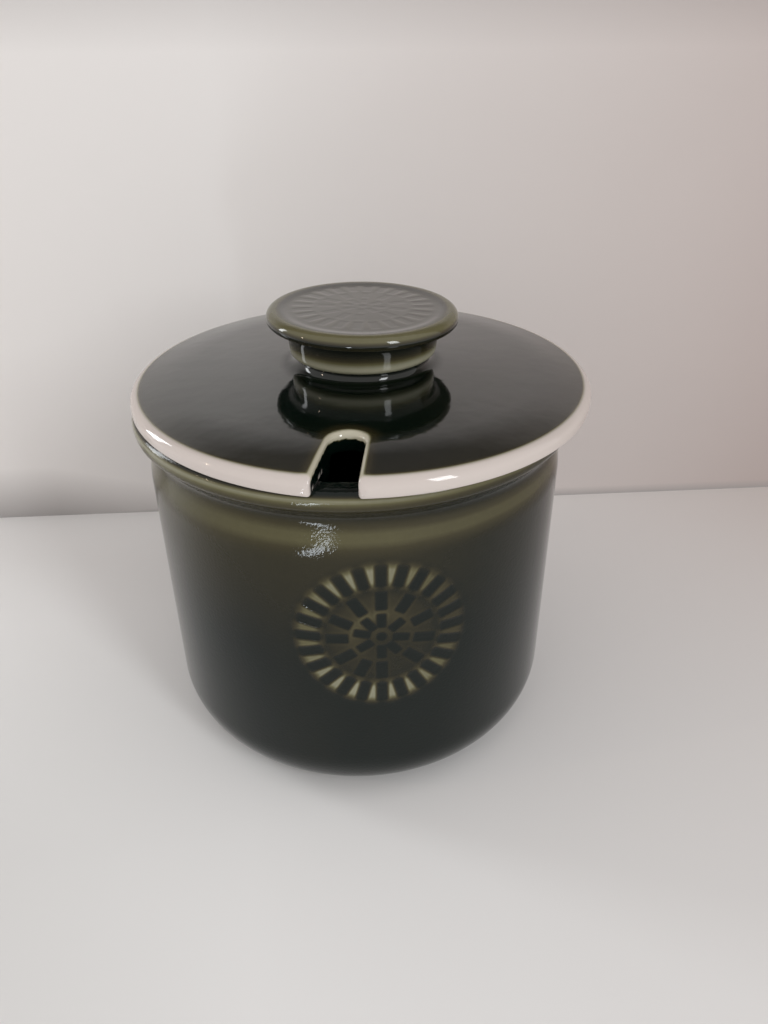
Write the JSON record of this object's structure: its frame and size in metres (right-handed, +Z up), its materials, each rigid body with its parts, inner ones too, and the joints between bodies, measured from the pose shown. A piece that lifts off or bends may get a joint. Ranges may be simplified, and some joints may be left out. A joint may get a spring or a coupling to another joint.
{
  "type": "jam pot",
  "caption": "Lidded jam pot of dark green glazed stoneware, with a rolled rim, a spoon notch in the lid, a disc knob and a stamped ring of bars.",
  "frame": {"origin": "on the pot's axis, at the flat foot it stands on", "axes": "+Z up along the pot's axis, -Y out through the middle of the stamp on the pot's front"},
  "size_m": [0.1003, 0.1, 0.101],
  "materials": {
    "green_glaze": "glossy dark olive green glaze, paler where it runs thin over edges, clear over pale clay on the rim of the lid"
  },
  "bodies": {
    "root": {"pot": "green_glaze", "lid": "green_glaze"}
  },
  "joints": []
}
